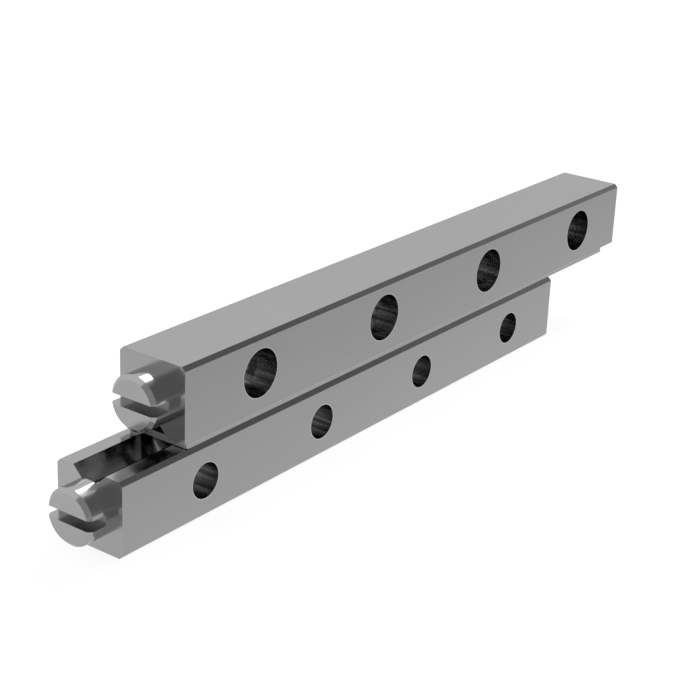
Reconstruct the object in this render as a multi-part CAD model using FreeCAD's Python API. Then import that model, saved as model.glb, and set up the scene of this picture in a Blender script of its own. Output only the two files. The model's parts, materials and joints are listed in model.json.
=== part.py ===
import FreeCAD, Part
import math
import os

# A pair of crossed-roller guide rails, in millimetres.
# X runs along the rails, Y goes through their width and Z is up.
# The origin is the centre of the lower rail's base, and the front of the pair is its -Y side.

# Rails
pair_height = 12.0
rail_width = 6.0
rail_gap = 0.6
rail_chamfer = 0.3
upper_groove_side_chamfer = 0.05  # the upper rail's edges beside its groove are only just broken
lower_length = 55.0
upper_length = 60.0
upper_shift = 6.1  # how far the upper rail's left end stands past the lower one's

# Bolt holes, from each rail's own left end and from its outer long face
bolt_count = 4
bolt_hole_diameter = 2.7
counterbore_diameter = 3.7
counterbore_depth = 2.2
bolt_axis_height = 2.85
lower_first_bolt = 8.3
lower_bolt_pitch = 13.25
upper_first_bolt = 8.0
upper_bolt_pitch = 15.0

# Crossed rollers, and the room that the grooves and the end screws leave them
roller_count = 13
roller_diameter = 2.5
roller_length = 2.4
roller_chamfer = 0.3
row_left_play = 1.65  # from the upper rail's left end screw to the first roller
row_right_play = 2.75  # from the last roller to the lower rail's right end screw
rolling_clearance = 0.02
relief_width = 0.6
relief_clearance = 0.08

# Cage strip
cage_length = 58.0
cage_width = 5.5
cage_thickness = 0.5
cage_inset = 0.5  # from the upper rail's left end to the strip's left end
cage_corner_radius = 0.3
pocket_clearance = 0.1
pocket_corner_cut = 0.25
pocket_end_margin = 2.2  # least distance from the last pocket's centre to the strip's end

# End screws
head_diameter = 4.2
head_thickness = 2.05
head_chamfer = 0.3
screw_axis_height = 2.9
slot_width = 0.8
slot_depth = 1.45
shank_diameter = 2.0
shank_length = 3.2
shank_chamfer = 0.2
thread_clearance = 0.03
tapped_depth = 3.6
drill_point_angle = 118.0

# Sizes that follow from the ones above
roller_radius = roller_diameter / 2
rail_height = (pair_height - rail_gap) / 2
roller_plane = pair_height / 2
lower_left = -lower_length / 2
lower_right = lower_left + lower_length
upper_left = lower_left + upper_shift
upper_right = upper_left + upper_length
cage_left = upper_left + cage_inset
first_roller = upper_left + row_left_play + roller_radius
last_roller = lower_right - row_right_play - roller_radius
roller_pitch = (last_roller - first_roller) / (roller_count - 1)
cut_margin = 1.0  # how far a cutting tool runs out of the metal

X_AXIS = FreeCAD.Vector(1, 0, 0)
Y_AXIS = FreeCAD.Vector(0, 1, 0)
Z_AXIS = FreeCAD.Vector(0, 0, 1)


def solid_from_outline(outline, direction):
    """Close a list of corner points into a face and push it along a direction."""
    wire = Part.makePolygon(outline + [outline[0]])
    return Part.Face(wire).extrude(direction)


def turned(outline, axis):
    """Turn a closed outline of corner points right round an axis through the origin."""
    wire = Part.makePolygon(outline + [outline[0]])
    return Part.Face(wire).revolve(FreeCAD.Vector(0, 0, 0), axis, 360)


def groove_half_width():
    """Half the V-groove's mouth: its 45 degree walls just clear the rollers."""
    wall_distance = roller_radius + rolling_clearance
    return wall_distance * math.sqrt(2) - rail_gap / 2


def roller_reach():
    """How far a leaning roller's outermost edge stands from its centre, up, down or sideways."""
    return (roller_radius + roller_length / 2 - roller_chamfer) / math.sqrt(2)


def groove_floor_height():
    """Height of the relief slot's floor, just under a roller's lowest edge."""
    return roller_plane - roller_reach() - relief_clearance


def rail_section(groove_side_chamfer):
    """Cross-section of a rail with its groove up: chamfered block, V-groove, relief slot."""
    half_width = rail_width / 2
    mouth = groove_half_width()
    relief = relief_width / 2
    relief_top = rail_height - (mouth - relief)
    floor = min(groove_floor_height(), relief_top)
    right_half = [
        (half_width - rail_chamfer, 0),
        (half_width, rail_chamfer),
        (half_width, rail_height - groove_side_chamfer),
        (half_width - groove_side_chamfer, rail_height),
        (mouth, rail_height),
        (relief, relief_top),
        (relief, floor),
    ]
    left_half = [(-y, z) for y, z in reversed(right_half)]
    return [FreeCAD.Vector(0, y, z) for y, z in right_half + left_half]


def bolt_hole(x):
    """Drill and counterbore for one bolt, the counterbore from the +Y face."""
    front = FreeCAD.Vector(x, -rail_width / 2 - cut_margin, bolt_axis_height)
    drill = Part.makeCylinder(bolt_hole_diameter / 2, rail_width + 2 * cut_margin, front, Y_AXIS)
    seat = FreeCAD.Vector(x, rail_width / 2 - counterbore_depth, bolt_axis_height)
    counterbore = Part.makeCylinder(
        counterbore_diameter / 2, counterbore_depth + cut_margin, seat, Y_AXIS)
    return drill.fuse(counterbore)


def tapped_hole():
    """Blind hole along +X from the origin, with a drill point at its end."""
    radius = shank_diameter / 2 + thread_clearance
    point_length = radius / math.tan(math.radians(drill_point_angle / 2))
    outline = [
        FreeCAD.Vector(-cut_margin, 0, 0),
        FreeCAD.Vector(-cut_margin, radius, 0),
        FreeCAD.Vector(tapped_depth, radius, 0),
        FreeCAD.Vector(tapped_depth + point_length, 0, 0),
    ]
    return turned(outline, X_AXIS)


def rail(length, first_bolt, bolt_pitch, groove_side_chamfer):
    """One rail, groove up, left end at X = 0 and base on Z = 0."""
    body = solid_from_outline(rail_section(groove_side_chamfer), X_AXIS * length)
    cuts = [bolt_hole(first_bolt + index * bolt_pitch) for index in range(bolt_count)]
    left_tap = tapped_hole()
    left_tap.translate(Z_AXIS * screw_axis_height)
    right_tap = tapped_hole()
    right_tap.rotate(FreeCAD.Vector(0, 0, 0), Z_AXIS, 180)
    right_tap.translate(X_AXIS * length + Z_AXIS * screw_axis_height)
    return body.cut(cuts + [left_tap, right_tap])


def turn_over(shape):
    """Turn a shape of the lower rail's frame half round the rollers' centre line."""
    shape.rotate(Z_AXIS * roller_plane, X_AXIS, 180)
    return shape


def lower_rail():
    """The rail that stands on its base, at its place along X."""
    shape = rail(lower_length, lower_first_bolt, lower_bolt_pitch, rail_chamfer)
    shape.translate(X_AXIS * lower_left)
    return shape


def upper_rail():
    """The rail that lies on the rollers, groove down, at its place along X."""
    shape = rail(upper_length, upper_first_bolt, upper_bolt_pitch, upper_groove_side_chamfer)
    shape.translate(X_AXIS * upper_left)
    return turn_over(shape)


def end_screw():
    """Slotted cheese-head screw along X: head on the +X side of the origin, shank on -X."""
    head_radius = head_diameter / 2
    shank_radius = shank_diameter / 2
    outline = [
        FreeCAD.Vector(-shank_length, 0, 0),
        FreeCAD.Vector(-shank_length, shank_radius - shank_chamfer, 0),
        FreeCAD.Vector(-shank_length + shank_chamfer, shank_radius, 0),
        FreeCAD.Vector(0, shank_radius, 0),
        FreeCAD.Vector(0, head_radius, 0),
        FreeCAD.Vector(head_thickness - head_chamfer, head_radius, 0),
        FreeCAD.Vector(head_thickness, head_radius - head_chamfer, 0),
        FreeCAD.Vector(head_thickness, 0, 0),
    ]
    slot_length = head_diameter + 2 * cut_margin
    slot_corner = FreeCAD.Vector(head_thickness - slot_depth, -slot_length / 2, -slot_width / 2)
    slot = Part.makeBox(slot_depth + cut_margin, slot_length, slot_width, slot_corner)
    return turned(outline, X_AXIS).cut(slot)


def right_end_screw(rail_end):
    """The end screw at a rail's right end, at the lower rail's screw height."""
    shape = end_screw()
    shape.translate(X_AXIS * rail_end + Z_AXIS * screw_axis_height)
    return shape


def left_end_screw(rail_end):
    """The same screw at a rail's left end, its head towards -X."""
    shape = end_screw()
    shape.rotate(FreeCAD.Vector(0, 0, 0), Z_AXIS, 180)
    shape.translate(X_AXIS * rail_end + Z_AXIS * screw_axis_height)
    return shape


def pocket_count():
    """One pocket for each roller, and empty ones on to the strip's right end."""
    room = cage_left + cage_length - pocket_end_margin - first_roller
    return max(roller_count, math.floor(room / roller_pitch) + 1)


def flat_block(length, width, height, x):
    """Flat block centred on X = x, Y = 0 and the roller plane, with its upright edges."""
    corner = FreeCAD.Vector(x - length / 2, -width / 2, roller_plane - height / 2)
    block = Part.makeBox(length, width, height, corner)
    upright = [edge for edge in block.Edges if edge.BoundBox.ZLength > height / 2]
    return block, upright


def pocket(x):
    """Cutter for one roller's window in the cage strip, its corners cut off."""
    length = roller_diameter + 2 * pocket_clearance
    width = 2 * roller_reach() + 2 * pocket_clearance
    block, upright = flat_block(length, width, cage_thickness + 2 * cut_margin, x)
    return block.makeChamfer(pocket_corner_cut, upright)


def roller_cage():
    """Thin strip between the rails with a row of pockets for the rollers."""
    strip, upright = flat_block(
        cage_length, cage_width, cage_thickness, cage_left + cage_length / 2)
    strip = strip.makeFillet(cage_corner_radius, upright)
    return strip.cut([pocket(first_roller + index * roller_pitch) for index in range(pocket_count())])


def roller(x, lean):
    """Short cylinder with chamfered ends, its axis leaning 45 degrees to one side or the other."""
    half_length = roller_length / 2
    outline = [
        FreeCAD.Vector(0, 0, -half_length),
        FreeCAD.Vector(roller_radius - roller_chamfer, 0, -half_length),
        FreeCAD.Vector(roller_radius, 0, -half_length + roller_chamfer),
        FreeCAD.Vector(roller_radius, 0, half_length - roller_chamfer),
        FreeCAD.Vector(roller_radius - roller_chamfer, 0, half_length),
        FreeCAD.Vector(0, 0, half_length),
    ]
    shape = turned(outline, Z_AXIS)
    shape.rotate(FreeCAD.Vector(0, 0, 0), X_AXIS, lean)
    shape.translate(FreeCAD.Vector(x, 0, roller_plane))
    return shape


def rollers():
    """The row of rollers, each one crossed with its neighbours."""
    pieces = {}
    for index in range(roller_count):
        lean = 45 if index % 2 else -45
        pieces[f"roller_{index + 1:02d}"] = roller(first_roller + index * roller_pitch, lean)
    return pieces


def assembly():
    """Every piece by name, each at its place with the rails as they stand at rest."""
    pieces = {
        "lower_rail": lower_rail(),
        "upper_rail": upper_rail(),
        "lower_left_end_screw": left_end_screw(lower_left),
        "lower_right_end_screw": right_end_screw(lower_right),
        "upper_left_end_screw": turn_over(left_end_screw(upper_left)),
        "upper_right_end_screw": turn_over(right_end_screw(upper_right)),
        "roller_cage": roller_cage(),
    }
    pieces.update(rollers())
    return pieces


os.makedirs("parts", exist_ok=True)
for name, shape in assembly().items():
    shape.exportStep(f"parts/{name}.step")
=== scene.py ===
import json
import math

import bpy
from mathutils import Matrix, Vector


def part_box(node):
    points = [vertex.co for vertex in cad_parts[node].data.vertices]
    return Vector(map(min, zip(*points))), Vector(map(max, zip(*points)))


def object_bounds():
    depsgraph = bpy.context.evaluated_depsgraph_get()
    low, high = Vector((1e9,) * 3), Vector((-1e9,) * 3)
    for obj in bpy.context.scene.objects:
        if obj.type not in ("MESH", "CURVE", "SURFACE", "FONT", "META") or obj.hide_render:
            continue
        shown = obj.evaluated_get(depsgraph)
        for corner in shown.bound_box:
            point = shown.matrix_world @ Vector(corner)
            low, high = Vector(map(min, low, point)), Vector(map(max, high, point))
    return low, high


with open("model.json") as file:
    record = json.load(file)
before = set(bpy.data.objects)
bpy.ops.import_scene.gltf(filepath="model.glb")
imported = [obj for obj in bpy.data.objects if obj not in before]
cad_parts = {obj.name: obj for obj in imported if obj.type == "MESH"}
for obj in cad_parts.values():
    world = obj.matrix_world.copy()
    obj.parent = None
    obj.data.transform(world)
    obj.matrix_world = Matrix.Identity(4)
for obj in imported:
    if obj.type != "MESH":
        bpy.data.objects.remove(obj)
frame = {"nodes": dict(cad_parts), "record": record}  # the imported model, in metres: X along the rails, front on -Y, Z up
cad_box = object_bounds()

# Places read from the frame
millimetre = 0.001
mounts = {mount["name"]: mount for mount in frame["record"]["mounts"]}
lower_low, lower_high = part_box("lower_rail")
upper_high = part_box("upper_rail")[1]
roller_plane = (lower_low.z + upper_high.z) / 2  # the rails' heights mirror each other about it
rail_half_width = lower_high.y
bolt_axis_offset = roller_plane - mounts["lower_outer_bolts"]["pos_m"][2]
screw_low, screw_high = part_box("lower_left_end_screw")
screw_axis_offset = roller_plane - (screw_low.z + screw_high.z) / 2
surface_skin = 0.00002  # nearer a face than this counts as on it

# Camera, from the photograph's perspective
image_side = 675.0
focal_length_in_pixels = 1702.4
sensor_side = 36.0
camera_azimuth = math.radians(-53.687)
camera_elevation = math.radians(21.556)
camera_roll = math.radians(2.353)
camera_aim = Vector((-0.0003, 0.00003, 0.00722))
camera_distance = 0.13268
camera_near_limit = 0.005

# Steels. A pair holds the values at a pattern's low and high parts.
rail_grey = (0.39, 0.388, 0.388)
# darker than the rails' grey: painted shade inside the bolt holes
hole_shade_grey = (0.35, 0.35, 0.35)
# lighter than the rails' grey: a painted highlight round the holes' rims
rim_highlight_grey = (0.52, 0.52, 0.52)
screw_grey = (0.4, 0.4, 0.4)
cage_grey = (0.43, 0.43, 0.43)
roller_grey = (0.46, 0.46, 0.46)
grazing_grey = (0.75, 0.75, 0.75)  # every steel's tint towards grazing angles
rail_roughness = (0.13, 0.19)
screw_roughness = 0.15
cage_roughness = 0.25
roller_roughness = (0.06, 0.1)
grain_anisotropy = 0.5
grain_direction = (1.0, 0.02, 0.0)  # along X, save on the end faces, where Y is all that counts

# Patterns in the steels. Their tones are factors on a steel's grey.
grain_width = 0.00006
grain_length = 0.008
grain_detail = 3.0
ground_tones = (0.98, 1.02)
rolled_tones = (0.94, 1.06)
haze_tones = (0.97, 1.03)
ring_tones = (0.97, 1.03)
mottle_size = 0.006
mottle_detail = 2.0
mottle_tones = (0.99, 1.01)
# streaks of painted reflection along the bolt holes' walls
streak_width = 0.0005
streak_detail = 1.0
reflection_streak_tones = (0.6, 1.35)
noise_span = (0.3, 0.7)  # the noise seldom leaves it
streak_span = (0.4, 0.6)  # narrower, for streaks that show
counterbore_radius = 0.00185
# width of the painted highlight round each hole
rim_highlight_width = 0.00007

# Studio
floor_side = 6.0
floor_albedo = 0.8
room_light = 0.28  # what the diffuse floor receives from all around
dim_side = 0.42  # the brightness that the steel mirrors from the camera's side of the room
card_gap = 0.00002  # how far each layer of floor cards lies above the one below it


class Finish:
    """One steel's node tree, with the building blocks that all the finishes share."""

    def __init__(self, name):
        self.material = bpy.data.materials.new(name)
        self.material.use_nodes = True
        self.tree = self.material.node_tree
        self.shader = self.tree.nodes["Principled BSDF"]
        self.shader.inputs["Metallic"].default_value = 1.0
        self.shader.inputs["Specular Tint"].default_value = (*grazing_grey, 1.0)
        coordinates = self.add("ShaderNodeTexCoord")
        self.place = coordinates.outputs["Object"]
        self.x, self.y, self.z = self.split(self.place)

    def add(self, kind, **settings):
        """A node of this kind with these settings."""
        node = self.tree.nodes.new(kind)
        for name, value in settings.items():
            setattr(node, name, value)
        return node

    def feed(self, socket, source):
        """Give a socket another node's output, or a plain number or colour."""
        if isinstance(source, bpy.types.NodeSocket):
            self.tree.links.new(source, socket)
        else:
            socket.default_value = source

    def split(self, vector):
        """The three coordinates of a vector."""
        node = self.add("ShaderNodeSeparateXYZ")
        self.feed(node.inputs[0], vector)
        return node.outputs[0], node.outputs[1], node.outputs[2]

    def math(self, operation, first, second=0.0, third=0.0):
        """One step of arithmetic."""
        node = self.add("ShaderNodeMath", operation=operation)
        for socket, source in zip(node.inputs, (first, second, third)):
            self.feed(socket, source)
        return node.outputs[0]

    def length(self, first, second):
        """Distance from the origin of a point with these two coordinates."""
        squares = self.math("MULTIPLY_ADD", first, first, self.math("MULTIPLY", second, second))
        return self.math("SQRT", squares)

    def ramp(self, value, span, results):
        """A smooth step between two results as the value crosses a span."""
        node = self.add("ShaderNodeMapRange", interpolation_type="SMOOTHSTEP")
        for socket, source in zip(node.inputs, (value, *span, *results)):
            self.feed(socket, source)
        return node.outputs[0]

    def noise(self, x_size, y_size, z_size, detail):
        """Noise from 0 to 1 whose grains have these three sizes."""
        mapping = self.add("ShaderNodeMapping")
        self.feed(mapping.inputs["Vector"], self.place)
        mapping.inputs["Scale"].default_value = (1 / x_size, 1 / y_size, 1 / z_size)
        node = self.add("ShaderNodeTexNoise")
        node.inputs["Scale"].default_value = 1.0
        node.inputs["Detail"].default_value = detail
        self.feed(node.inputs["Vector"], mapping.outputs["Vector"])
        return node.outputs["Fac"]

    def long_grain(self):
        """Noise in fine lines along X."""
        return self.noise(grain_length, grain_width, grain_width, grain_detail)

    def mix_colour(self, share, first, second):
        """From the first colour to the second as share goes from 0 to 1."""
        node = self.add("ShaderNodeMix", data_type="RGBA")
        colours = [socket for socket in node.inputs if socket.type == "RGBA"]
        self.feed(node.inputs[0], share)
        for socket, source in zip(colours, (first, second)):
            self.feed(socket, source if isinstance(source, bpy.types.NodeSocket) else (*source, 1.0))
        return next(socket for socket in node.outputs if socket.type == "RGBA")

    def shaded(self, colour, factor):
        """A colour made lighter or darker by a factor."""
        node = self.add("ShaderNodeVectorMath", operation="SCALE")
        self.feed(node.inputs[0], colour)
        self.feed(node.inputs["Scale"], factor)
        return node.outputs[0]

    def stretch_reflections(self):
        """Draw the reflections out across the grain, as fine parallel scratches do."""
        normal = self.add("ShaderNodeNewGeometry").outputs["Normal"]
        across = self.add("ShaderNodeVectorMath", operation="CROSS_PRODUCT")
        self.feed(across.inputs[0], normal)
        across.inputs[1].default_value = grain_direction
        self.feed(self.shader.inputs["Tangent"], across.outputs[0])
        self.shader.inputs["Anisotropic"].default_value = grain_anisotropy

    def finished(self, colour, roughness):
        """The material, with the shader's colour and roughness."""
        self.feed(self.shader.inputs["Base Color"], colour)
        self.feed(self.shader.inputs["Roughness"], roughness)
        return self.material


def hole_distance(finish, side):
    """Distance from the nearest bolt hole's axis in this rail."""
    outer = mounts[f"{side}_outer_bolts"]
    inner = mounts[f"{side}_inner_bolts"]
    from_middle = finish.math("ABSOLUTE", finish.math("SUBTRACT", finish.x, outer["pos_m"][0]))
    nearest = None
    for pattern in (outer, inner):
        half_spacing = pattern["dims"]["spacing_x_mm"] / 2 * millimetre
        along = finish.math("ABSOLUTE", finish.math("SUBTRACT", from_middle, half_spacing))
        nearest = along if nearest is None else finish.math("MINIMUM", nearest, along)
    from_plane = finish.math("ABSOLUTE", finish.math("SUBTRACT", finish.z, roller_plane))
    return finish.length(nearest, finish.math("SUBTRACT", from_plane, bolt_axis_offset))


def hole_masks(finish, side):
    """1 on the hole walls, and 1 on thin rings where the holes open in the long faces, which take a
    painted highlight.
    """
    bore_radius = mounts[f"{side}_outer_bolts"]["dims"]["hole_r_mm"] * millimetre
    front_radius, back_radius = {
        "lower": (bore_radius, counterbore_radius),
        "upper": (counterbore_radius, bore_radius),
    }[side]
    at_back = finish.math("GREATER_THAN", finish.y, 0.0)
    opening_radius = finish.math("MULTIPLY_ADD", at_back, back_radius - front_radius, front_radius)
    distance = hole_distance(finish, side)
    depth = finish.math("SUBTRACT", rail_half_width, finish.math("ABSOLUTE", finish.y))
    near_axis = finish.math("LESS_THAN", distance, counterbore_radius + surface_skin)
    wall = finish.math("MULTIPLY", near_axis, finish.math("GREATER_THAN", depth, surface_skin))
    near_rim = finish.math("LESS_THAN", distance, finish.math("ADD", opening_radius, rim_highlight_width))
    rim_highlight = finish.math("MULTIPLY", near_rim, finish.math("LESS_THAN", depth, surface_skin))
    return wall, rim_highlight


def rail_steel(side):
    """Hardened steel, ground along its length, with drilled holes whose walls take painted shade and
    streaks of painted reflection, and a painted highlight round their rims.
    """
    finish = Finish(f"{side}_rail_steel")
    finish.stretch_reflections()
    grain = finish.long_grain()
    mottle = finish.noise(2 * mottle_size, mottle_size, mottle_size, mottle_detail)
    grain_tone = finish.ramp(grain, noise_span, ground_tones)
    mottle_tone = finish.ramp(mottle, noise_span, mottle_tones)
    face_colour = finish.shaded(rail_grey, finish.math("MULTIPLY", grain_tone, mottle_tone))
    # the hole walls: a darker grey for painted shade, with streaks of painted reflection along the
    # holes
    reflection_streaks = finish.noise(streak_width, grain_length, streak_width, streak_detail)
    shaded_wall_colour = finish.shaded(hole_shade_grey, finish.ramp(reflection_streaks, streak_span, reflection_streak_tones))
    wall, rim_highlight = hole_masks(finish, side)
    # a painted highlight on a thin ring round each hole's opening
    colour = finish.mix_colour(rim_highlight, finish.mix_colour(wall, face_colour, shaded_wall_colour), rim_highlight_grey)
    return finish.finished(colour, finish.ramp(grain, noise_span, rail_roughness))


def screw_steel():
    """Turned steel with fine rings about the screw's axis."""
    finish = Finish("screw_steel")
    from_plane = finish.math("ABSOLUTE", finish.math("SUBTRACT", finish.z, roller_plane))
    radius = finish.length(finish.y, finish.math("SUBTRACT", from_plane, screw_axis_offset))
    rings = finish.math("PINGPONG", radius, grain_width)
    tone = finish.ramp(rings, (0.0, grain_width), ring_tones)
    return finish.finished(finish.shaded(screw_grey, tone), screw_roughness)


def cage_steel():
    """Rolled steel strip, its grain along the strip."""
    finish = Finish("cage_steel")
    finish.stretch_reflections()
    tone = finish.ramp(finish.long_grain(), noise_span, rolled_tones)
    return finish.finished(finish.shaded(cage_grey, tone), cage_roughness)


def roller_steel():
    """Polished bearing steel with the faintest haze."""
    finish = Finish("roller_steel")
    haze = finish.noise(grain_width, grain_width, grain_width, grain_detail)
    colour = finish.shaded(roller_grey, finish.ramp(haze, noise_span, haze_tones))
    return finish.finished(colour, finish.ramp(haze, noise_span, roller_roughness))


def dress(node_name, material):
    """Give a node's every material slot this finish."""
    node = frame["nodes"][node_name]
    for slot in node.material_slots:
        slot.material = material


def dress_all():
    """Give every node its finish."""
    dress("lower_rail", rail_steel("lower"))
    dress("upper_rail", rail_steel("upper"))
    dress("roller_cage", cage_steel())
    screws = screw_steel()
    rollers = roller_steel()
    for name in frame["nodes"]:
        if name.endswith("_end_screw"):
            dress(name, screws)
        if name.startswith("roller_") and name != "roller_cage":
            dress(name, rollers)


def facing_object(azimuth, elevation, distance):
    """Placement that faces the object from these angles in degrees, azimuth from +X towards +Y."""
    turn = math.radians(azimuth)
    rise = math.radians(elevation)
    level = math.cos(rise)
    toward = Vector((math.cos(turn) * level, math.sin(turn) * level, math.sin(rise)))
    facing = toward.to_track_quat("Z", "Y").to_matrix().to_4x4()
    return Matrix.Translation(camera_aim + toward * distance) @ facing


def add_camera():
    """A camera that sees the object as the photograph does."""
    data = bpy.data.cameras.new("camera")
    data.sensor_width = sensor_side
    data.lens = focal_length_in_pixels / image_side * sensor_side
    data.clip_start = camera_near_limit
    camera = bpy.data.objects.new("camera", data)
    turn = (
        Matrix.Rotation(camera_azimuth, 4, "Z")
        @ Matrix.Rotation(math.pi / 2 - camera_elevation, 4, "X")
        @ Matrix.Rotation(camera_roll, 4, "Z")
    )
    back = turn.to_3x3() @ Vector((0, 0, 1))
    camera.matrix_world = Matrix.Translation(camera_aim + back * camera_distance) @ turn
    bpy.context.scene.collection.objects.link(camera)
    bpy.context.scene.camera = camera


def add_plane(name, width, height, placement, material):
    """A flat rectangle in the studio."""
    x = width / 2
    y = height / 2
    mesh = bpy.data.meshes.new(name)
    mesh.from_pydata([(-x, -y, 0), (x, -y, 0), (x, y, 0), (-x, y, 0)], [], [(0, 1, 2, 3)])
    mesh.materials.append(material)
    plane = bpy.data.objects.new(name, mesh)
    plane.matrix_world = placement
    bpy.context.scene.collection.objects.link(plane)
    return plane


def seen_directly(tree):
    """1 for camera, glossy and transmission rays, and 0 for the light that falls on things."""
    path = tree.nodes.new("ShaderNodeLightPath")
    total = path.outputs["Is Camera Ray"]
    for ray in ("Is Glossy Ray", "Is Transmission Ray"):
        either = tree.nodes.new("ShaderNodeMath")
        either.operation = "MAXIMUM"
        tree.links.new(total, either.inputs[0])
        tree.links.new(path.outputs[ray], either.inputs[1])
        total = either.outputs[0]
    return total


def add_world():
    """White all round to the camera and in reflections, plain soft light to the floor."""
    world = bpy.data.worlds.new("studio")
    world.use_nodes = True
    tree = world.node_tree
    background = tree.nodes["Background"]
    background.inputs["Color"].default_value = (1.0, 1.0, 1.0, 1.0)
    level = tree.nodes.new("ShaderNodeMapRange")
    tree.links.new(seen_directly(tree), level.inputs["Value"])
    level.inputs["To Min"].default_value = room_light
    level.inputs["To Max"].default_value = 1.0
    tree.links.new(level.outputs[0], background.inputs["Strength"])
    bpy.context.scene.world = world


def floor_material():
    """Matt white that the camera and the reflections see as white, shadows apart."""
    material = bpy.data.materials.new("floor")
    material.use_nodes = True
    tree = material.node_tree
    tree.nodes.clear()
    matt = tree.nodes.new("ShaderNodeBsdfDiffuse")
    matt.inputs["Color"].default_value = (floor_albedo, floor_albedo, floor_albedo, 1.0)
    glow = tree.nodes.new("ShaderNodeEmission")
    lift = 1.0 - floor_albedo * room_light  # with the room's light it makes the open floor white
    glow.inputs["Color"].default_value = (lift, lift, lift, 1.0)
    tree.links.new(seen_directly(tree), glow.inputs["Strength"])
    both = tree.nodes.new("ShaderNodeAddShader")
    tree.links.new(matt.outputs[0], both.inputs[0])
    tree.links.new(glow.outputs[0], both.inputs[1])
    output = tree.nodes.new("ShaderNodeOutputMaterial")
    tree.links.new(both.outputs[0], output.inputs["Surface"])
    return material


def on_floor(x, y, turn, layer):
    """Placement flat on the floor, its +X turned by degrees from the rails' X."""
    place = Vector((x, y, cad_box[0][2] + layer * card_gap))
    return Matrix.Translation(place) @ Matrix.Rotation(math.radians(turn), 4, "Z")


def add_floor():
    """A wide floor under the rails."""
    placement = on_floor(x=0, y=0, turn=0, layer=0)
    add_plane("floor", floor_side, floor_side, placement, floor_material())


def add_key_softbox():
    """A soft rectangular lamp at the right back, which the screw heads mirror as a white gleam."""
    data = bpy.data.lights.new("key_softbox", "AREA")
    data.shape = "RECTANGLE"
    data.size = 0.205
    data.size_y = 0.09
    data.energy = 0.18
    lamp = bpy.data.objects.new("key_softbox", data)
    lamp.matrix_world = facing_object(azimuth=14, elevation=46, distance=0.35)
    lamp.visible_camera = False
    bpy.context.scene.collection.objects.link(lamp)


def card_material(name, brightness, fade):
    """A grey that goes from one brightness to another between two shares of the card's width."""
    material = bpy.data.materials.new(name)
    material.use_nodes = True
    tree = material.node_tree
    tree.nodes.clear()
    place = tree.nodes.new("ShaderNodeTexCoord")
    split = tree.nodes.new("ShaderNodeSeparateXYZ")
    tree.links.new(place.outputs["Generated"], split.inputs[0])
    shade = tree.nodes.new("ShaderNodeMapRange")
    tree.links.new(split.outputs[0], shade.inputs["Value"])
    shade.inputs["From Min"].default_value = fade[0]
    shade.inputs["From Max"].default_value = fade[1]
    shade.inputs["To Min"].default_value = brightness[0]
    shade.inputs["To Max"].default_value = brightness[1]
    emission = tree.nodes.new("ShaderNodeEmission")
    tree.links.new(shade.outputs[0], emission.inputs["Strength"])
    output = tree.nodes.new("ShaderNodeOutputMaterial")
    tree.links.new(emission.outputs[0], output.inputs["Surface"])
    return material


def add_card(name, width, height, placement, brightness, fade=(0.0, 1.0)):
    """A grey card that shows only in the metal's reflections."""
    card = add_plane(name, width, height, placement, card_material(name, brightness, fade))
    card.visible_camera = False
    card.visible_diffuse = False
    card.visible_shadow = False


def add_dark_panel():
    """A tall dark panel at the right front, which the chamfers and the screw heads' sides mirror."""
    placement = facing_object(azimuth=-34, elevation=24, distance=0.25)
    brightness = (0.165, 0.52)
    add_card("dark_panel", 0.244, 0.32, placement, brightness, fade=(0.57, 1.0))


def add_camera_side_card():
    """The dim side of the room behind the camera, which the screw heads' rims mirror."""
    placement = facing_object(azimuth=-137, elevation=26, distance=0.35)
    add_card("camera_side_card", 0.6, 0.4, placement, brightness=(dim_side, dim_side))


def add_front_floor_card():
    """In front of the rails, darker away from them: the shade of their front faces."""
    placement = on_floor(x=-0.0046, y=-0.0247, turn=-98.6, layer=2)
    brightness = (0.955, 0.645)
    add_card("front_floor_card", 0.062, 0.3, placement, brightness, fade=(0.0, 0.5))


def add_end_floor_card():
    """Behind the left ends, darker away from them: the shade of the end faces."""
    placement = on_floor(x=-0.0477, y=0.0148, turn=144, layer=1)
    brightness = (1.02, 0.83)
    add_card("end_floor_card", 0.056, 0.06, placement, brightness, fade=(0.0, 0.5))


def add_left_floor_card():
    """At the left front: the shade of the screw heads' rims and of their image in the end faces."""
    placement = on_floor(x=-0.0815, y=-0.054, turn=0, layer=3)
    add_card("left_floor_card", 0.1, 0.1, placement, brightness=(dim_side, dim_side))


def add_studio():
    """Floor, room light, softbox and the cards that give the steel its grey reflections."""
    add_world()
    add_floor()
    add_key_softbox()
    add_dark_panel()
    add_camera_side_card()
    add_front_floor_card()
    add_end_floor_card()
    add_left_floor_card()


dress_all()
add_camera()
add_studio()
bpy.context.scene.view_settings.view_transform = "Standard"
